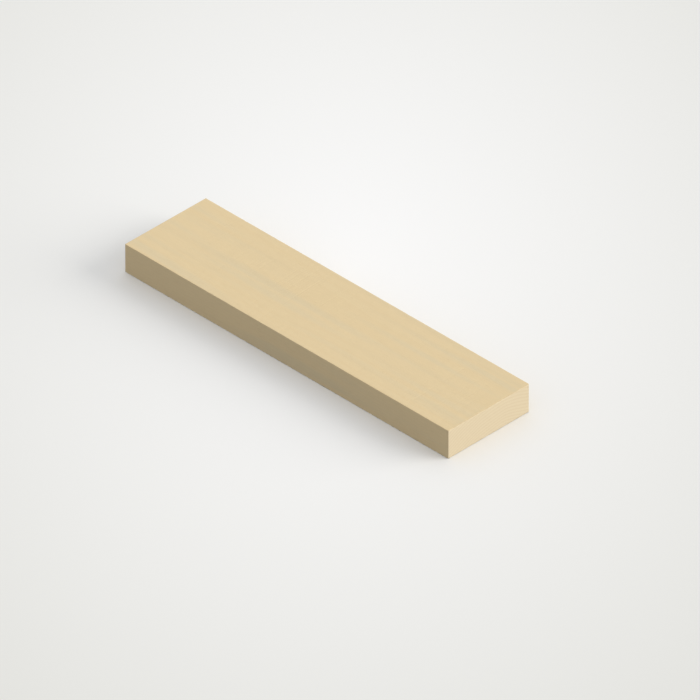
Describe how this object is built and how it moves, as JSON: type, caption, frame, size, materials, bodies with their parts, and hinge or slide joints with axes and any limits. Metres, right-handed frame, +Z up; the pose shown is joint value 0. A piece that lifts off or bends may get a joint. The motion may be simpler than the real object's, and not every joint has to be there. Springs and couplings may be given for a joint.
{
  "type": "rough sawn board",
  "caption": "Short rough sawn softwood board of plain rectangular section, with square cross-cut ends and lightly worn arrises, for general carpentry and building work.",
  "frame": {"origin": "middle of the underside, on the level surface that the board lies on", "axes": "+X along the grain and the length, +Y across the width, +Z up through the thickness"},
  "size_m": [0.4, 0.1, 0.03],
  "materials": {
    "sawn_softwood": "rough sawn, matte, unfinished"
  },
  "bodies": {
    "root": {"board": "sawn_softwood"}
  },
  "joints": []
}
